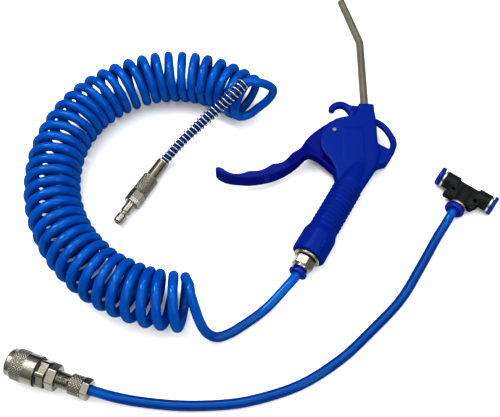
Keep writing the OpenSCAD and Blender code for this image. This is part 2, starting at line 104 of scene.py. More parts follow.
def smooth(pts, n):
    """Points on the smooth curve through pts, n for each stretch."""
    q = np.array(pts, float)
    a = np.vstack([q[:1], q, q[-1:]])
    out = []
    for i in range(len(q) - 1):
        p0, p1, p2, p3 = a[i], a[i + 1], a[i + 2], a[i + 3]
        for k in range(n):
            t = k / n
            out.append(0.5 * (2 * p1 + (p2 - p0) * t + (2 * p0 - 5 * p1 + 4 * p2 - p3) * t * t
                              + (3 * p1 - p0 - 3 * p2 + p3) * t ** 3))
    out.append(q[-1])
    return np.array(out)


def resample(pts, step):
    pts = np.array(pts, float)
    d = np.r_[0, np.cumsum(np.linalg.norm(np.diff(pts, axis=0), axis=1))]
    n = max(2, int(round(d[-1] / step)) + 1)
    s = np.linspace(0, d[-1], n)
    return np.stack([np.interp(s, d, pts[:, i]) for i in range(pts.shape[1])], 1)


def relax(pts, times, first=1, last=1):
    """Evens out a line of points without moving its ends."""
    p = np.array(pts, float)
    for _ in range(times):
        p[first:-last] += 0.5 * (0.5 * (p[first - 1:-last - 1] + p[first + 1:len(p) - last + 1]) - p[first:-last])
    return p


def along(m, x):
    return list((m @ Vector((x * MM, 0, 0))) / MM - KIT)


# the coil: the axis of the winding
axis = smooth(coil_pts, 60)
axis_s = np.r_[0, np.cumsum(np.linalg.norm(np.diff(axis, axis=0), axis=1))]
axis_len = axis_s[-1]


def on_axis(s):
    """Point and outward direction of the coil's axis at length s; straight on beyond its ends."""
    sc = min(max(s, 0.0), axis_len)
    p = np.array([np.interp(sc, axis_s, axis[:, 0]), np.interp(sc, axis_s, axis[:, 1])])
    a, b = max(sc - 4, 0), min(sc + 4, axis_len)
    t = np.array([np.interp(b, axis_s, axis[:, 0]) - np.interp(a, axis_s, axis[:, 0]),
                  np.interp(b, axis_s, axis[:, 1]) - np.interp(a, axis_s, axis[:, 1])])
    t /= np.linalg.norm(t)
    return p + t * (s - sc), np.array([t[1], -t[0]])


# how far along the winding's axis each of the 38 turns stands, and its radius across, in millimetres
TURNS = [[4.5, 16.6], [14, 16.75], [23.1, 16.75], [32.4, 16.75], [42.2, 16.75], [51, 16.75], [60.3, 16.9], [69.8, 16.85], [79, 16.75],
         [88.1, 16.6], [97.9, 16.6], [108, 16.75], [117, 16.75], [126.5, 16.75], [135.5, 16.75], [144.4, 16.7], [153.4, 16.7],
         [163, 16.7], [173, 16.7], [182.8, 16.75], [192.4, 16.75], [202.2, 16.75], [211.4, 16.75], [221.3, 16.75], [231, 16.75],
         [240.8, 16.75], [250.6, 16.75], [259.8, 16.75], [269.6, 16.8], [278.7, 16.85], [288.8, 16.85], [298.4, 16.85], [307.8, 16.95],
         [317.2, 17], [327, 17], [336.4, 17], [345.6, 17], [356.6, 16.9]]
stations = np.array([t[0] for t in TURNS], float)
radii = np.array([t[1] for t in TURNS], float)


def station(k):
    """Length along the axis at turn k, where whole numbers are the outermost points."""
    n = len(stations)
    if k <= 1:
        return stations[0] + (k - 1) * 7.0
    if k >= n:
        return stations[-1] + (k - n) * 6.0
    i = int(k)
    f = k - i
    g = lambda j: stations[min(max(j - 1, 0), n - 1)] if 1 <= j <= n else (stations[0] - 8 if j < 1 else stations[-1] + 8)
    p0, p1, p2, p3 = g(i - 1), g(i), g(i + 1), g(i + 2)
    return 0.5 * (2 * p1 + (p2 - p0) * f + (2 * p0 - 5 * p1 + 4 * p2 - p3) * f * f + (3 * p1 - p0 - 3 * p2 + p3) * f ** 3)


def coil_point(k):
    lean = 2.6 * min(max((k - 32.5) / 5, 0), 1) * (0.5 - 0.5 * math.cos(2 * math.pi * k))
    p, out = on_axis(station(k) - lean)
    r = float(np.interp(k, np.arange(1, len(radii) + 1), radii))
    a = -2 * math.pi * (k - 1)
    return [p[0] + r * math.cos(a) * out[0], p[1] + r * math.cos(a) * out[1], 19.5 + (19.5 - TUBE_R) * math.sin(a)]


PER = 32
K0, K1 = 0.5, 38.6
helix = np.array([coil_point(k) for k in np.linspace(K0, K1, int(round((K1 - K0) * PER)) + 1)])
# the free ends run on smoothly from the winding
h = [list(q) for q in helix]
to_gun = smooth([h[-9], h[-5], h[-1]] + tail_gun_pts[1:-1] + [along(GUN, -16.5), along(GUN, -7), along(GUN, 2.9)], 10)[20:]
plug_run = smooth([h[12], h[9], h[6], h[3], h[0]] + tail_plug_pts + guard_pts[1:-1]
                  + [along(PLUG, 0), along(PLUG, 8), along(PLUG, 16), along(PLUG, 25.8)], 10)
to_plug = plug_run[20:]
g0 = (5 + len(tail_plug_pts) - 1) * 10
guard_line = plug_run[g0:g0 + (len(guard_pts) - 1) * 10 + 1]
hose_mm = np.vstack([to_gun[::-1], helix[7:-1][::-1], to_plug])


def soften(line, lo, hi, times):
    part = line[lo:hi].copy()
    line[lo:hi] = relax(part, times)


def length_of(p):
    return float(np.sum(np.linalg.norm(np.diff(p, axis=0), axis=1)))


def line_curve(name, pts_mm, depth_mm, res=6, radii=None, cyclic=False):
    cu = bpy.data.curves.new(name, "CURVE")
    cu.dimensions = "3D"
    cu.bevel_depth = depth_mm * MM
    cu.bevel_resolution = res
    cu.use_fill_caps = True
    cu.twist_mode = "MINIMUM"
    sp = cu.splines.new("POLY")
    sp.points.add(len(pts_mm) - 1)
    for i, q in enumerate(pts_mm):
        v = P(*q)
        sp.points[i].co = (v.x, v.y, v.z, 1.0)
        if radii is not None:
            sp.points[i].radius = radii[i]
    sp.use_smooth = True
    sp.use_cyclic_u = cyclic
    o = bpy.data.objects.new(name, cu)
    scene.collection.objects.link(o)
    return o




def swell(line, a, b):
    """The free hose is a little fuller than where its ends, a and b millimetres long, are gripped."""
    d = np.r_[0, np.cumsum(np.linalg.norm(np.diff(line, axis=0), axis=1))]
    f = np.clip(np.minimum((d - a) / 14, (d[-1] - b - d) / 14), 0, 1)
    return [float(v) for v in 1 + (TUBE_R / HOSE_R - 1) * f]


hose = line_curve("recoil_hose", hose_mm, HOSE_R, 8, swell(hose_mm, 10, 36))
BRANCH = TEE @ Matrix.Rotation(math.radians(-90), 4, "Z")
adapter_mm = smooth([along(COUPLER, 50.2), along(COUPLER, 56), along(COUPLER, 62)] + adapter_pts[1:]
                    + [along(BRANCH, 24), along(BRANCH, 17), along(BRANCH, 5.7)], 10)
adapter_mm = resample(adapter_mm, 1.5)
soften(adapter_mm, 4, 60, 60)
adapter_mm[:, 2] = np.maximum(adapter_mm[:, 2], TUBE_R)
adapter = line_curve("short_hose", adapter_mm, HOSE_R, 8, swell(adapter_mm, 14, 22))
print("hose length", round(length_of(hose_mm)), "adapter length", round(length_of(adapter_mm)))


# ---------------------------------------------------------------- light and floor
scene.view_settings.view_transform = "Standard"
scene.view_settings.look = "None"
world = bpy.data.worlds.new("studio")
scene.world = world
world.use_nodes = True
wn = world.node_tree.nodes
wl = world.node_tree.links
wn["Background"].inputs["Strength"].default_value = 1.95
tc = wn.new("ShaderNodeTexCoord")
sep = wn.new("ShaderNodeSeparateXYZ")
ramp = wn.new("ShaderNodeValToRGB")
ramp.color_ramp.elements[0].position = 0.0
ramp.color_ramp.elements[0].color = (0.045, 0.047, 0.05, 1)
ramp.color_ramp.elements[1].position = 0.85
ramp.color_ramp.elements[1].color = (0.62, 0.63, 0.65, 1)
wl.new(tc.outputs["Generated"], sep.inputs[0])
wl.new(sep.outputs["Z"], ramp.inputs[0])
wl.new(ramp.outputs[0], wn["Background"].inputs["Color"])


def area(name, loc, aim, size, power, color=(1, 1, 1)):
    l = bpy.data.lights.new(name, "AREA")
    l.shape = "RECTANGLE"
    l.size, l.size_y = size
    l.energy = power
    l.color = color
    o = bpy.data.objects.new(name, l)
    scene.collection.objects.link(o)
    o.location = loc
    o.rotation_euler = (Vector(aim) - Vector(loc)).to_track_quat("-Z", "Y").to_euler()
    return o


area("key", (-0.62, 0.30, 0.95), (0, 0, 0), (0.22, 0.5), 10.4)
area("key_b", (-0.15, 0.62, 1.05), (0, 0, 0), (0.5, 0.16), 4.5)
area("strip_a", (0, 0.03, 1.2), (0, 0.03, 0), (4.0, 0.01), 4.5)
area("strip_b", (0, -0.13, 1.2), (0, -0.13, 0), (4.0, 0.01), 4.5)
area("top", (0.15, -0.15, 1.5), (0, 0, 0), (2.2, 2.2), 26)
area("fill", (0.6, -0.8, 0.6), (0, 0, 0), (0.3, 0.4), 2.6)

me = bpy.data.meshes.new("floor")
me.from_pydata([(-3, -3, 0), (3, -3, 0), (3, 3, 0), (-3, 3, 0)], [], [(0, 1, 2, 3)])
floor = bpy.data.objects.new("floor", me)
floor.location = (0, 0, -0.0002)
scene.collection.objects.link(floor)


# ---------------------------------------------------------------- materials
def lin(r, g, b):
    f = lambda c: (c / 255) / 12.92 if c / 255 <= 0.04045 else (((c / 255) + 0.055) / 1.055) ** 2.4
    return (f(r), f(g), f(b))


def material(name, base, metallic=0.0, rough=0.4, rough_var=0.06, tint=0.12, cloud=90, grain=1400, bump=0.15,
             depth=0.00006, coat=0.0, coat_rough=0.1, wear_and_edge_highlight=0.0, wear_and_edge_highlight_col=(0.8, 0.8, 0.8), stretch=(1, 1, 1),
             specular=0.5, sss=0.0, sss_radius=(0.1, 0.3, 1.0), second=None, sheen_tint=(1, 1, 1), dim=0.54, groove_shade=0.0, ground_shade=None, ior=1.5, gloss=None, guard_shade=None):
    base = [c * dim for c in base]
    m = bpy.data.materials.new(name)
    m.use_nodes = True
    nt = m.node_tree
    n, l = nt.nodes, nt.links
    b = n["Principled BSDF"]
    b.inputs["Metallic"].default_value = metallic
    b.inputs["Specular IOR Level"].default_value = specular
    b.inputs["Specular Tint"].default_value = (*sheen_tint, 1)
    b.inputs["IOR"].default_value = ior
    b.inputs["Coat Weight"].default_value = coat
    b.inputs["Coat Roughness"].default_value = coat_rough
    if sss:
        b.inputs["Subsurface Weight"].default_value = sss
        b.inputs["Subsurface Radius"].default_value = sss_radius
        b.inputs["Subsurface Scale"].default_value = 0.002
    co = n.new("ShaderNodeTexCoord")
    mp = n.new("ShaderNodeMapping")
    mp.inputs["Scale"].default_value = stretch
    l.new(co.outputs["Object"], mp.inputs[0])
    big = n.new("ShaderNodeTexNoise")
    big.inputs["Scale"].default_value = cloud
    big.inputs["Detail"].default_value = 4
    big.inputs["Roughness"].default_value = 0.55
    fine = n.new("ShaderNodeTexNoise")
    fine.inputs["Scale"].default_value = grain
    fine.inputs["Detail"].default_value = 3
    l.new(mp.outputs[0], big.inputs["Vector"])
    l.new(mp.outputs[0], fine.inputs["Vector"])
    cr = n.new("ShaderNodeValToRGB")
    lo = [c * dim for c in second] if second else [c * (1 - tint) for c in base]
    cr.color_ramp.elements[0].position = 0.3
    cr.color_ramp.elements[1].position = 0.7
    cr.color_ramp.elements[0].color = (*lo, 1)
    cr.color_ramp.elements[1].color = (*[min(1, c * (1 + tint)) for c in base], 1)
    l.new(big.outputs["Fac"], cr.inputs[0])
    last = cr.outputs[0]
    if groove_shade:
        # painted shade: darker where a cut runs, from the mesh's own measure of its depth
        at = n.new("ShaderNodeAttribute")
        at.attribute_name = "cut"
        gm = n.new("ShaderNodeMath")
        gm.operation = "MULTIPLY"
        gm.inputs[1].default_value = groove_shade
        l.new(at.outputs["Fac"], gm.inputs[0])
        mg = n.new("ShaderNodeMix")
        mg.data_type = "RGBA"
        l.new(gm.outputs[0], mg.inputs["Factor"])
        l.new(last, mg.inputs["A"])
        mg.inputs["B"].default_value = (0.02, 0.02, 0.016, 1)
        last = mg.outputs["Result"]
    if ground_shade:
        # painted shade: deeper colour close to the ground, standing for the shade under and between the hose's turns
        so = n.new("ShaderNodeSeparateXYZ")
        l.new(co.outputs["Object"], so.inputs[0])
        lr = n.new("ShaderNodeMapRange")
        lr.interpolation_type = "SMOOTHSTEP"
        lr.inputs["From Min"].default_value = ground_shade[0]
        lr.inputs["From Max"].default_value = ground_shade[1]
        l.new(so.outputs["Z"], lr.inputs["Value"])
        ml = n.new("ShaderNodeMix")
        ml.data_type = "RGBA"
        l.new(lr.outputs[0], ml.inputs["Factor"])
        ml.inputs["A"].default_value = (*[c * dim for c in ground_shade[2]], 1)
        l.new(last, ml.inputs["B"])
        last = ml.outputs["Result"]
    if guard_shade:
        # painted shade: deeper colour inside the guard, near the straight line from a to b, for the shade the spring
        # wire casts on the hose
        a_, b_ = Vector(guard_shade[0]), Vector(guard_shade[1])
        u_ = (b_ - a_).normalized()
        sub = n.new("ShaderNodeVectorMath")
        sub.operation = "SUBTRACT"
        l.new(co.outputs["Object"], sub.inputs[0])
        sub.inputs[1].default_value = a_
        dot = n.new("ShaderNodeVectorMath")
        dot.operation = "DOT_PRODUCT"
        l.new(sub.outputs[0], dot.inputs[0])
        dot.inputs[1].default_value = u_
        cl = n.new("ShaderNodeClamp")
        cl.inputs["Min"].default_value = 0.0
        cl.inputs["Max"].default_value = (b_ - a_).length
        l.new(dot.outputs["Value"], cl.inputs["Value"])
        sc = n.new("ShaderNodeVectorMath")
        sc.operation = "SCALE"
        sc.inputs[0].default_value = u_
        l.new(cl.outputs[0], sc.inputs["Scale"])
        df = n.new("ShaderNodeVectorMath")
        df.operation = "DISTANCE"
        l.new(sub.outputs[0], df.inputs[0])
        l.new(sc.outputs[0], df.inputs[1])
        zr = n.new("ShaderNodeMapRange")
        zr.interpolation_type = "SMOOTHSTEP"
        zr.inputs["From Min"].default_value = guard_shade[2]
        zr.inputs["From Max"].default_value = guard_shade[3]
        l.new(df.outputs["Value"], zr.inputs["Value"])
        mz = n.new("ShaderNodeMix")
        mz.data_type = "RGBA"
        l.new(zr.outputs[0], mz.inputs["Factor"])
        mz.inputs["A"].default_value = (*[c * dim for c in guard_shade[4]], 1)
        l.new(last, mz.inputs["B"])
        last = mz.outputs["Result"]
    # painted highlight and wear: a lighter colour on sharp edges, found from the mesh's pointiness; on the blue
    # mouldings it stands for the light the rounded edges catch, on the metal for rubbed peaks that also catch the light
    if wear_and_edge_highlight:
        geo = n.new("ShaderNodeNewGeometry")
        wr = n.new("ShaderNodeMapRange")
        wr.inputs["From Min"].default_value = 0.52
        wr.inputs["From Max"].default_value = 0.62
        wr.inputs["To Max"].default_value = wear_and_edge_highlight
        l.new(geo.outputs["Pointiness"], wr.inputs["Value"])
        mix = n.new("ShaderNodeMix")
        mix.data_type = "RGBA"
        l.new(wr.outputs[0], mix.inputs["Factor"])
        l.new(last, mix.inputs["A"])
        mix.inputs["B"].default_value = (*wear_and_edge_highlight_col, 1)
        last = mix.outputs["Result"]
    l.new(last, b.inputs["Base Color"])
    rr = n.new("ShaderNodeMapRange")
    rr.inputs["To Min"].default_value = max(0.02, rough - rough_var)
    rr.inputs["To Max"].default_value = rough + rough_var
    l.new(big.outputs["Fac"], rr.inputs["Value"])
    l.new(rr.outputs[0], b.inputs["Roughness"])
    bp = n.new("ShaderNodeBump")
    bp.inputs["Strength"].default_value = bump
    bp.inputs["Distance"].default_value = depth
    l.new(fine.outputs["Fac"], bp.inputs["Height"])
    l.new(bp.outputs[0], b.inputs["Normal"])
    if gloss:
        # an even sheen instead of the shader's own reflection
        b.inputs["Specular IOR Level"].default_value = 0.0
        g = n.new("ShaderNodeBsdfGlossy")
        g.inputs["Color"].default_value = (*gloss[1], 1)
        g.inputs["Roughness"].default_value = gloss[2]
        l.new(bp.outputs[0], g.inputs["Normal"])
        mx = n.new("ShaderNodeMixShader")
        mx.inputs[0].default_value = gloss[0]
        l.new(b.outputs[0], mx.inputs[1])
        l.new(g.outputs[0], mx.inputs[2])
        l.new(mx.outputs[0], n["Material Output"].inputs["Surface"])
    return m


# painted shade on the hose: darker close to the ground and inside the spring guard
M_HOSE = material("hose_blue", lin(0, 66, 166), rough=0.3, rough_var=0.05, tint=0.10, cloud=60, grain=700, bump=0.2,
                  depth=0.00006, second=lin(0, 56, 151), ground_shade=(0.003, 0.013, lin(0, 20, 106)), gloss=(0.042, (0.06, 0.36, 0.62), 0.1),
                  guard_shade=(P(-9, 89, 42.5), P(-66.1, 47.8, 6.2), 0.0072, 0.0084, lin(0, 19, 92)))
# painted highlight: the gun's and lever's edges are lighter where their rounded edges catch the light
M_GUN = material("gun_blue", lin(2, 24, 118), rough=0.42, rough_var=0.06, tint=0.06, cloud=70, grain=2600, bump=0.35,
                 depth=0.00005, wear_and_edge_highlight=0.5, wear_and_edge_highlight_col=lin(18, 46, 160), gloss=(0.022, (0.06, 0.14, 0.5), 0.3))
M_LEVER = material("lever_blue", lin(0, 2, 100), rough=0.38, rough_var=0.06, tint=0.07, cloud=80, grain=2600, bump=0.35,
                   depth=0.00005, wear_and_edge_highlight=0.35, wear_and_edge_highlight_col=lin(12, 34, 150), gloss=(0.022, (0.06, 0.12, 0.45), 0.28))
M_RING = material("ring_blue", lin(4, 22, 130), rough=0.28, rough_var=0.05, tint=0.08, cloud=160, grain=2200, bump=0.15,
                  wear_and_edge_highlight=0.3, wear_and_edge_highlight_col=lin(30, 50, 170), gloss=(0.05, (0.12, 0.2, 0.6), 0.2))
# painted shade in the knurls and flutes, and painted highlight on their peaks
M_NICKEL = material("nickel", (0.31, 0.295, 0.24), metallic=1.0, rough=0.2, rough_var=0.06, tint=0.08, cloud=220, grain=2600,
                    bump=0.2, depth=0.00004, wear_and_edge_highlight=0.6, wear_and_edge_highlight_col=(0.5, 0.48, 0.4), dim=0.48, groove_shade=0.85)
M_NICKEL_DARK = material("nickel_dark", (0.19, 0.18, 0.14), metallic=1.0, rough=0.2, rough_var=0.06, tint=0.1, cloud=220,
                         grain=2600, bump=0.25, depth=0.00004, wear_and_edge_highlight=0.7, wear_and_edge_highlight_col=(0.5, 0.47, 0.38), dim=0.52, groove_shade=0.85)
M_STEEL = material("steel", (0.62, 0.66, 0.7), metallic=1.0, dim=0.5, rough=0.14, rough_var=0.06, tint=0.08, cloud=300, grain=3000,
                   bump=0.15, depth=0.00003)
M_NOZZLE = material("nozzle_metal", (0.118, 0.112, 0.082), metallic=0.7, rough=0.42, rough_var=0.08, tint=0.14, cloud=160,
                    grain=1600, bump=0.35, depth=0.00006, second=(0.105, 0.097, 0.07), specular=0.3, dim=0.58)
M_PIN = material("pin_grey", (0.2, 0.2, 0.21), metallic=0.5, rough=0.5, tint=0.1, cloud=400, grain=2600, bump=0.2, specular=0.2)
M_BRASS = material("brass", (0.72, 0.52, 0.24), metallic=1.0, rough=0.28, tint=0.08, cloud=250)
M_RUBBER = material("rubber_black", (0.006, 0.006, 0.006), rough=0.55, tint=0.2, cloud=300, grain=2200, bump=0.4, specular=0.15)
M_TEE = material("tee_black", (0.0055, 0.007, 0.0065), rough=0.42, rough_var=0.08, tint=0.25, cloud=200, grain=2400, bump=0.5,
                 depth=0.00007, wear_and_edge_highlight=0.25, wear_and_edge_highlight_col=(0.03, 0.032, 0.03), gloss=(0.015, (0.25, 0.28, 0.28), 0.3))
M_FLOOR = material("floor", (0.78, 0.78, 0.78), rough=0.7, dim=1.0, tint=0.01, cloud=3, grain=200, bump=0.02, specular=0.2)


def dress(o, m):
    o.data.materials.clear()
    o.data.materials.append(m)
    return o


dress(floor, M_FLOOR)
dress(hose, M_HOSE)
dress(adapter, M_HOSE)


# ---------------------------------------------------------------- mesh helpers
def link_mesh(name, verts, faces, matrix, mat, sharp=32):
    me = bpy.data.meshes.new(name)
    me.from_pydata([tuple(v) for v in verts], [], [tuple(f) for f in faces])
    me.validate()
    me.update()
    me.polygons.foreach_set("use_smooth", [True] * len(me.polygons))
    if sharp:
        me.set_sharp_from_angle(angle=math.radians(sharp))
    me.materials.append(mat)
    o = bpy.data.objects.new(name, me)
    o.matrix_world = matrix
    scene.collection.objects.link(o)
    return o


def rounded(prof, r=0.25, k=3, closed=True):
    """Rounds the corners of a profile of (x, radius) points."""
    p = [np.array(q, float) for q in prof]
    n = len(p)
    out = []
    for i in range(n):
        if not closed and i in (0, n - 1):
            out.append(p[i])
            continue
        a, b, c = p[i - 1], p[i], p[(i + 1) % n]
        la, lc = np.linalg.norm(a - b), np.linalg.norm(c - b)
        rr = min(r, la * 0.45, lc * 0.45)
        if b[1] < 1e-6 or rr < 1e-3:
            out.append(b)
            continue
        s, e = b + (a - b) / la * rr, b + (c - b) / lc * rr
        for j in range(k + 1):
            t = j / k
            out.append((1 - t) ** 2 * s + 2 * t * (1 - t) * b + t * t * e)
    return out


def lathe(name, prof, matrix, mat, n=72, mod=None, step=None, r=0.25, sharp=32, cut=None):
    """A closed ring or body turned about X. prof runs once round its section; mod(x, angle, radius) reshapes the surface."""
    p = rounded(prof, r)
    if step:
        q = []
        for i in range(len(p)):
            a, b = p[i], p[(i + 1) % len(p)]
            m = max(1, int(math.ceil(np.linalg.norm(b - a) / step))) if a[1] > 0.5 and b[1] > 0.5 else 1
            q += [a + (b - a) * j / m for j in range(m)]
        p = q
    m_ = len(p)
    ang = np.arange(n) * 2 * math.pi / n
    verts = []
    for (x, rad) in p:
        for a in ang:
            rr = mod(x, a, rad) if mod else rad
            verts.append((x * MM, rr * math.cos(a) * MM, rr * math.sin(a) * MM))
    cut_at = {}
    if cut:
        for v, r0 in zip(verts, [q[1] for q in p for _ in ang]):
            d_ = r0 - math.hypot(v[1], v[2]) / MM
            if cut[0] < v[0] / MM < cut[1] and d_ > 0.01:
                cut_at[tuple(round(c, 7) for c in v)] = min(1.0, d_ / cut[2])
    faces = []
    for i in range(m_):
        i2 = (i + 1) % m_
        if p[i][1] < 1e-6 and p[i2][1] < 1e-6:
            continue
        for j in range(n):
            j2 = (j + 1) % n
            faces.append((i * n + j, i2 * n + j, i2 * n + j2, i * n + j2))
    o = link_mesh(name, verts, faces, matrix, mat, 0)
    import bmesh
    bm = bmesh.new()
    bm.from_mesh(o.data)
    bmesh.ops.remove_doubles(bm, verts=bm.verts, dist=1e-7)
    bmesh.ops.dissolve_degenerate(bm, dist=1e-8, edges=bm.edges)
    bmesh.ops.recalc_face_normals(bm, faces=bm.faces)
    bm.to_mesh(o.data)
    bm.free()
    o.data.polygons.foreach_set("use_smooth", [True] * len(o.data.polygons))
    if sharp:
        o.data.set_sharp_from_angle(angle=math.radians(sharp))
    if cut:
        at = o.data.attributes.new("cut", "FLOAT", "POINT")
        at.data.foreach_set("value", [cut_at.get(tuple(round(c, 7) for c in v.co), 0.0) for v in o.data.vertices])
    return o


def tri(t):
    return abs(2 * (t - math.floor(t)) - 1)


def knurl(x0, x1, count, pitch, depth, base_r, lead=1.0):
    """Diamond knurling between x0 and x1 on the surface of radius base_r."""
    def f(x, a, rad):
        if abs(rad - base_r) > 0.02 or not x0 < x < x1:
            return rad
        edge = min(1.0, (x - x0) / 0.4, (x1 - x) / 0.4)
        u = count * a / (2 * math.pi) + lead * x / pitch
        v = count * a / (2 * math.pi) - lead * x / pitch
        return rad - depth * edge * (1 - min(1, 1.25 * min(1 - tri(u), 1 - tri(v))))
    return f


def flutes(x0, x1, count, depth, base_r):
    def f(x, a, rad):
        if abs(rad - base_r) > 0.02 or not x0 < x < x1:
            return rad
        return rad - depth * tri(count * a / (2 * math.pi))
    return f


def thread(x0, x1, pitch, depth, base_r):
    def f(x, a, rad):
        if abs(rad - base_r) > 0.02 or not x0 < x < x1:
            return rad
        return rad - depth * tri(x / pitch - a / (2 * math.pi))
    return f


def hexagon(x0, x1, af, chamfer=0.6, turn=0.0, slope=1.6):
    """Cuts the surface between x0 and x1 to a hexagon, its corners chamfered at both ends."""
    rc = af / 2 / math.cos(math.radians(30))
    def f(x, a, rad):
        if not x0 - 1e-6 <= x <= x1 + 1e-6 or rad < af / 2 * 0.8:
            return rad
        t = (math.degrees(a) + turn) % 60
        h = af / 2 / math.cos(math.radians(abs(t - 30)))
        cone = rc - chamfer + slope * min(x - x0, x1 - x)
        return min(h, rc - 0.12, cone, rad)
    return f


def both(*mods):
    def f(x, a, rad):
        for m in mods:
            rad = m(x, a, rad)
        return rad
    return f


def moulded(name, node, local, mat, voxel, rounds, weight, tweak=None, sharp=None):
    """A copy of a CAD solid with the soft edges of a moulding: remeshed evenly, then rounded by weight."""
    src = NODES[node]
    me = src.data.copy()
    tmp = bpy.data.objects.new(name + "_src", me)
    tmp.matrix_world = src.matrix_world.copy()
    scene.collection.objects.link(tmp)
    md = tmp.modifiers.new("remesh", "REMESH")
    md.mode = "VOXEL"
    md.voxel_size = voxel * MM
    dg = bpy.context.evaluated_depsgraph_get()
    ev = tmp.evaluated_get(dg)
    new = bpy.data.meshes.new_from_object(ev)
    mw = tmp.matrix_world.copy()
    bpy.data.objects.remove(tmp)
    new.name = name
    nv = len(new.vertices)
    co = np.empty(nv * 3)
    new.vertices.foreach_get("co", co)
    co = co.reshape(-1, 3)
    m = np.array(local.inverted() @ mw)
    v = (co @ m[:3, :3].T + m[:3, 3]) / MM
    ed = np.empty(len(new.edges) * 2, int)
    new.edges.foreach_get("vertices", ed)
    ed = ed.reshape(-1, 2)
    deg = np.bincount(ed.ravel(), minlength=nv).astype(float)[:, None]
    w = np.array(weight(v), float)[:, None]
    for _ in range(rounds):
        acc = np.stack([np.bincount(ed[:, 0], weights=v[ed[:, 1], i], minlength=nv)
                        + np.bincount(ed[:, 1], weights=v[ed[:, 0], i], minlength=nv) for i in range(3)], 1)
        v = v + 0.6 * w * (acc / np.maximum(deg, 1) - v)
    if tweak:
        v = tweak(v)
    new.vertices.foreach_set("co", (v * MM).ravel())
    new.update()
    new.polygons.foreach_set("use_smooth", [True] * len(new.polygons))
    if sharp:
        new.set_sharp_from_angle(angle=math.radians(sharp))
    new.materials.clear()
    new.materials.append(mat)
    o = bpy.data.objects.new(name, new)
    o.matrix_world = local
    scene.collection.objects.link(o)
    return o


def sstep(a, b, x):
    t = np.clip((x - a) / (b - a), 0, 1)
    return t * t * (3 - 2 * t)


def bell(x, lo, hi, soft):
    return sstep(lo - soft, lo + soft, x) * (1 - sstep(hi - soft, hi + soft, x))


# ---------------------------------------------------------------- blow gun
PIN = (101.4, 30.6)


def gun_weight(v):
    x, y, z = v[:, 0], v[:, 1], v[:, 2]
    w = np.ones(len(v))
    edge = -3 + (x - 107.7) * 0.535
    slim = (np.abs(z) < 3.4) & ((x > 117) & (y > 27) | (x > 108.8) & (y < edge - 0.8))
    w[slim] = 0.4
    w[(x < 68)] = 0.3
    w[(np.abs(z) > 4.2) & (np.hypot(x - PIN[0], y - PIN[1]) < 18) & (x > 68)] = 0.7
    w[np.hypot(x - PIN[0], y - PIN[1]) < 3.4] = 0.12
    h = (x - 141.6) * 0.878 + (y - 23.6) * 0.479
    n_ = -(x - 141.6) * 0.479 + (y - 23.6) * 0.878
    w[(h > -12)] = 0.5
    w[(np.hypot(n_, z) < 4.4) & (h > -20)] = 0.1
    return w


def gun_tweak(v):
    x, y, z = v[:, 0].copy(), v[:, 1].copy(), v[:, 2].copy()
    # grip: even rings
    rad = np.hypot(y, z)
    on = (x > 23.8) & (x < 66.2) & (rad > 9.0) & (rad < 11.6)
    want = 10.15 + 0.55 * np.cos(2 * np.pi * (x - 24.6) / 3.45)
    f = np.where(on, bell(x, 24.6, 65.4, 0.8), 0)
    nr = rad + (want - rad) * f
    k = np.where(rad > 1e-6, nr / np.maximum(rad, 1e-6), 1)
    y, z = y * k, z * k
    # raised panel on both cheeks
    px = (x - 96.4) * 0.885 + (y - 12.05) * 0.466
    py = -(x - 96.4) * 0.466 + (y - 12.05) * 0.885
    panel = bell(px, -15.2, 15.2, 0.3) * bell(py, -7.8, 7.8, 0.3)
    z = np.where(np.abs(z) > 6.3, z + np.sign(z) * 0.3 * panel, z)
    return np.stack([x, y, z], 1)


gun = moulded("blow_gun_body", "gun_body", GUN, M_GUN, 0.42, 26, gun_weight, gun_tweak)
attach(gun, "kit")
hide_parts("gun_body")

lever = moulded("squeeze_lever", "trigger_lever", GUN, M_LEVER, 0.4, 14,
                lambda v: np.where(np.hypot(v[:, 0] - PIN[0], v[:, 1] - PIN[1]) < 4, 0.1, 0.8))
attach(lever, "trigger")
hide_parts("trigger_lever")

dress(NODES["lever_pin"], M_PIN)

# bent nozzle, one smooth tube with a bore
noz = GUN @ Matrix.Translation((141.6 * MM, 23.6 * MM, 0)) @ Matrix.Rotation(math.radians(28.6), 4, "Z")


def nozzle_mesh():
    L, BR, BA, T = 59.0, 22.0, 16.2, 46.0
    line = [(x, 0.0, 0.0) for x in np.linspace(-18, L, 40)]
    for a in np.linspace(0, BA, 13)[1:]:
        line.append((L + BR * math.sin(math.radians(a)), BR - BR * math.cos(math.radians(a)), a))
    ex, ey = line[-1][0], line[-1][1]
    c, s = math.cos(math.radians(BA)), math.sin(math.radians(BA))
    for t in list(np.linspace(0, T - 1.2, 20)[1:]) + [T - 0.8, T - 0.4, T - 0.12, T]:
        line.append((ex + c * t, ey + s * t, BA))
    ro = [3.25] * (len(line) - 4) + [3.25, 3.23, 3.13, 2.9]
    n = 40
    verts, faces = [], []
    rows = [(q, r) for q, r in zip(line, ro)] + [(line[-1], 2.4)] + [(q, 2.2) for q in line[::-1]]
    for (x, y, a), r in rows:
        ca, sa = math.cos(math.radians(a)), math.sin(math.radians(a))
        for j in range(n):
            b = 2 * math.pi * j / n
            verts.append(((x - sa * r * math.cos(b)) * MM, (y + ca * r * math.cos(b)) * MM, r * math.sin(b) * MM))
    R = len(rows)
    for i in range(R):
        for j in range(n):
            faces.append((i * n + j, ((i + 1) % R) * n + j, ((i + 1) % R) * n + (j + 1) % n, i * n + (j + 1) % n))
    return verts, faces


vs, fs = nozzle_mesh()
nozzle = link_mesh("bent_nozzle", vs, [f[::-1] for f in fs], noz, M_NOZZLE, 40)
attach(nozzle, "kit")
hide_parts("nozzle_tube")

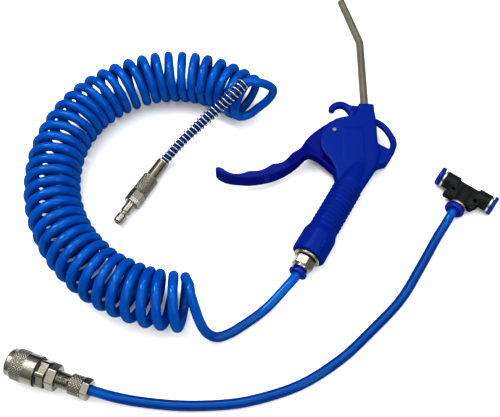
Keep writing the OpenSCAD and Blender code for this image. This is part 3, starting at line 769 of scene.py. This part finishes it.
insert = lathe("handle_insert", [(-2.3, 5), (-2.3, 9.0), (-1.7, 9.5), (-0.3, 9.5), (0, 9.3), (0, 7), (17, 7), (17, 5)], GUN, M_NICKEL, 96)
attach(insert, "kit")
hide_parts("inlet_insert")
fitting = lathe("push_in_fitting",
                [(-11.2, 5), (-11.2, 6.2), (-9.2, 6.2), (-9.2, 8.1), (-3.05, 8.1), (-3.05, 4.95), (9, 4.95), (9, 2.25), (3, 2.25), (3, 3.35),
                 (-3.6, 3.35), (-3.6, 5)], GUN, M_NICKEL, 144, hexagon(-9.2, -3.05, 14, 0.7, 12), 0.25, r=0.2)
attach(fitting, "kit")
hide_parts("inlet_fitting")


def ring_profile(x, r, l, t):
    return [(x - l, 3.6), (x - l, 4.3), (x - t, 4.3), (x - t, r - 0.1), (x - t + 0.5, r), (x - 0.6, r), (x, r - 0.5), (x, 4.9), (x - 0.5, 3.9), (x - 1.2, 3.55)]


FLIP = Matrix.Rotation(math.pi, 4, "Z")
rings = [("push_ring_gun", "inlet_release_ring", "inlet_release", GUN @ FLIP, 15.8, 6.5, 6.9, 2.3),
         ("push_ring_left", "tee_release_ring_left", "tee_left", TEE @ FLIP, 23.5, 7.2, 6.9, 2.9),
         ("push_ring_right", "tee_release_ring_right", "tee_right", TEE, 22.5, 7.2, 5.9, 2.9),
         ("push_ring_branch", "tee_release_ring_branch", "tee_branch", TEE @ Matrix.Rotation(math.radians(-90), 4, "Z"), 21.2, 7.2, 6.9, 2.9)]
ring_obj = {}
for nm, node, body, m, x, r, l, t in rings:
    o = lathe(nm, ring_profile(x, r, l, t), m, M_RING, 72, r=0.35)
    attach(o, body)
    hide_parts(node)
    ring_obj[node] = o

# ---------------------------------------------------------------- plug and its guard
p_sleeve = lathe("plug_sleeve_fluted", [(0, 3.45), (0, 4.5), (0.3, 4.8), (17.6, 4.8), (17.6, 5.3), (19, 5.3), (19, 3.45)], PLUG, M_NICKEL_DARK, 160,
                 flutes(0.5, 16.4, 26, 0.2, 4.8), None, r=0.2, sharp=50, cut=(0.5, 16.4, 0.2))
p_nut = lathe("plug_nut_knurled", [(16.2, 4.9), (16.2, 5.9), (16.7, 6.25), (32.2, 6.25), (32.4, 6.58), (38, 6.58), (38, 5.35), (17.6, 5.35), (17.6, 4.9)],
              PLUG, M_NICKEL_DARK, 240, both(knurl(17.2, 31.8, 22, 1.75, 0.3, 6.25), hexagon(32.3, 38, 11.4, 0.45, 24)), 0.22, r=0.15, sharp=50,
              cut=(17.2, 31.8, 0.3))
p_body = lathe("plug_nipple_body",
               [(23.8, 3.45), (23.8, 5.3), (38.2, 5.3), (38.2, 6.58), (41.8, 6.58), (41.8, 3.8), (50, 3.8), (50.6, 2.9), (52.4, 2.9), (53.2, 3.8),
                (57.2, 3.8), (59.2, 3.5), (60.0, 2.9), (60.0, 1.9), (26, 1.9), (26, 3.45)],
               PLUG, M_NICKEL, 144, hexagon(38.2, 41.8, 11.4, 0.5, 24), 0.3, r=0.25)
for o, node in ((p_sleeve, "plug_sleeve"), (p_nut, "plug_nut"), (p_body, "plug_body")):
    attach(o, "kit")
    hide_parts(node)

# the guard's wire, wound round the hose
gl = resample(guard_line, 0.5)
turns = 24.5
N = int(turns * 22)
d = np.r_[0, np.cumsum(np.linalg.norm(np.diff(gl, axis=0), axis=1))]
wire = []
up = Vector((0, 0, 1))
ref = None
for i in range(N + 1):
    t = i / N
    s = d[-1] * t
    c = np.array([np.interp(s, d, gl[:, j]) for j in range(3)])
    e = np.array([np.interp(min(s + 0.6, d[-1]), d, gl[:, j]) for j in range(3)]) - np.array([np.interp(max(s - 0.6, 0), d, gl[:, j]) for j in range(3)])
    tg = Vector(e).normalized()
    if ref is None:
        ref = tg.orthogonal().normalized()
    ref = (ref - tg * ref.dot(tg)).normalized()
    side = tg.cross(ref)
    a = 2 * math.pi * turns * t
    q = Vector(c) + 4.45 * (math.cos(a) * ref + math.sin(a) * side)
    wire.append(list(q))
guard = line_curve("guard_spring", wire, 0.5, 4)
dress(guard, M_STEEL)
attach(guard, "kit")
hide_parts("spring_guard")

# ---------------------------------------------------------------- coupler
c_sleeve = lathe("coupler_sleeve_knurled",
                 [(3.6, 7.9), (3.6, 8.3), (4.1, 8.95), (4.9, 9.25), (7.7, 9.4), (8.5, 10.3), (16.4, 10.3), (16.8, 10.1), (23.9, 10.1), (24.3, 9.9), (24.3, 9.65),
                  (18, 9.65), (18, 8.9), (14.6, 8.9), (14.6, 7.4), (5.6, 7.4), (5.6, 7.9)],
                 COUPLER, M_NICKEL, 336, knurl(8.6, 16.3, 36, 1.75, 0.38, 10.3), 0.24, r=0.2, sharp=50, cut=(8.6, 16.3, 0.38))
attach(c_sleeve, "coupler_slide")
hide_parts("coupler_sleeve")
c_socket = lathe("coupler_socket_turned",
                 [(4.4, 3.9), (4.4, 6.5), (5.0, 7.2), (22.8, 7.2), (22.8, 6.1), (19.9, 6.1), (19.9, 5.2), (15.9, 5.2), (15.9, 3.9), (15, 3.9), (15, 5.7),
                  (13, 5.7), (13, 3.9)], COUPLER, M_NICKEL_DARK, 96, r=0.2)
c_snap = lathe("coupler_snap_ring", [(4.6, 7.15), (4.6, 7.75), (5.4, 7.75), (5.4, 7.15)], COUPLER, M_STEEL, 96, r=0.1)
for o, node, slot in ((c_socket, "coupler_socket", "nickel"), (c_snap, "coupler_retaining_ring", "steel")):
    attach(o, "adapter")
    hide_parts(node)
c_barrel = lathe("coupler_barrel_threaded",
                 [(20, 5.2), (20, 6.1), (22.9, 6.1), (22.9, 8.6), (24.3, 8.6), (24.3, 7.3), (25.3, 7.3), (25.3, 9.36), (31.2, 9.36), (31.2, 5.3), (50, 5.3),
                  (50, 2.1), (29, 2.1), (29, 5.2)], COUPLER, M_NICKEL_DARK, 144,
                 both(hexagon(25.3, 31.2, 17.0, 0.7, 8), thread(38, 46.8, 1.25, 0.42, 5.3)), 0.2, r=0.2, sharp=45, cut=(38, 46.8, 0.42))
c_lock = lathe("coupler_lock_nut_hex", [(31.95, 5.35), (31.95, 9.0), (37.8, 9.0), (37.8, 5.35)], COUPLER, M_NICKEL, 144,
               hexagon(31.95, 37.8, 15.6, 0.8, -14), 0.2, r=0.15)
c_nut = lathe("coupler_nut_knurled", [(46.9, 5.35), (46.9, 6.3), (47.4, 6.75), (55.4, 6.75), (55.7, 7.16), (60.3, 7.16), (60.3, 3.35), (57, 3.35), (57, 5.35)],
              COUPLER, M_NICKEL, 260, both(knurl(47.6, 55.2, 22, 1.9, 0.32, 6.75), hexagon(55.6, 60.3, 12.4, 0.6, -14)), 0.2, r=0.15, sharp=50,
              cut=(47.6, 55.2, 0.32))
for o, node in ((c_barrel, "coupler_barrel"), (c_lock, "coupler_lock_nut"), (c_nut, "coupler_nut")):
    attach(o, "adapter")
    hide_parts(node)

# ---------------------------------------------------------------- tee
tee = moulded("tee_moulding", "tee_body", TEE, M_TEE, 0.26, 12, lambda v: np.where((np.hypot(np.abs(v[:, 0]) - 8.9, v[:, 1] + 6.9) < 2.2), 0.2, 0.8))
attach(tee, "adapter")
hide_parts("tee_body")

# ---------------------------------------------------------------- finishes of the solids that stay
for name, m in (("tee_bands", M_NICKEL), ("coupler_washer", M_RUBBER), ("coupler_rear_ring", M_RUBBER),
                ("coupler_balls", M_STEEL), ("coupler_seal", M_RUBBER), ("coupler_poppet", M_BRASS),
                ("coupler_poppet_seal", M_RUBBER), ("coupler_ferrule", M_BRASS),
                ("plug_ferrule", M_BRASS), ("tee_orings", M_RUBBER), ("tee_grab_rings", M_STEEL), ("inlet_gasket", M_RUBBER), ("inlet_oring", M_RUBBER),
                ("inlet_grab_ring", M_STEEL), ("nozzle_oring", M_RUBBER), ("valve_bush", M_BRASS), ("valve_stem", M_STEEL), ("valve_seal", M_RUBBER)):
    dress(NODES[name], m)

# ---------------------------------------------------------------- coil springs, each riding with its body
def spring(name, node, body, matrix, x0, l, turns, mr, wr):
    """A coil spring along X from x0, l long, in millimetres; it rides with its body as a whole."""
    per, sides = 20, 8
    steps = turns * per
    verts = []
    for j in range(steps + 1):
        a = 2 * math.pi * j / per
        # the end coils are closed up
        f = j / steps - 0.07 * math.sin(2 * math.pi * j / steps)
        x = x0 + wr + (l - 2 * wr) * f
        for i in range(sides):
            b = 2 * math.pi * i / sides
            r = mr + wr * math.cos(b)
            verts.append(((x + wr * math.sin(b)) * MM, r * math.cos(a) * MM, r * math.sin(a) * MM))
    faces = [(j * sides + i, (j + 1) * sides + i, (j + 1) * sides + (i + 1) % sides, j * sides + (i + 1) % sides)
             for j in range(steps) for i in range(sides)]
    faces += [tuple(range(sides)), tuple(steps * sides + i for i in range(sides - 1, -1, -1))]
    o = link_mesh(name, verts, faces, matrix, M_STEEL, 0)
    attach(o, body)
    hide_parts(node)
    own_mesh(o)
    return o


lo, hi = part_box("valve_spring")
VALVE = Matrix.Translation(Vector((lo[0], (lo[1] + hi[1]) / 2, (lo[2] + hi[2]) / 2)))
spring("valve_spring_wire", "valve_spring", "kit", VALVE, 0, 7.4, 6, 2.7, 0.4)
spring("sleeve_spring_wire", "coupler_sleeve_spring", "adapter", COUPLER, 14.7, 8.1, 4, 8.05, 0.45)
spring("poppet_spring_wire", "coupler_poppet_spring", "adapter", COUPLER, 18.15, 10.8, 6, 3.6, 0.45)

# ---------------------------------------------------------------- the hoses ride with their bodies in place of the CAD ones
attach(hose, "kit")
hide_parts("coil_hose", "hose_tail_gun", "hose_tail_plug")
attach(adapter, "adapter")
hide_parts("adapter_hose")
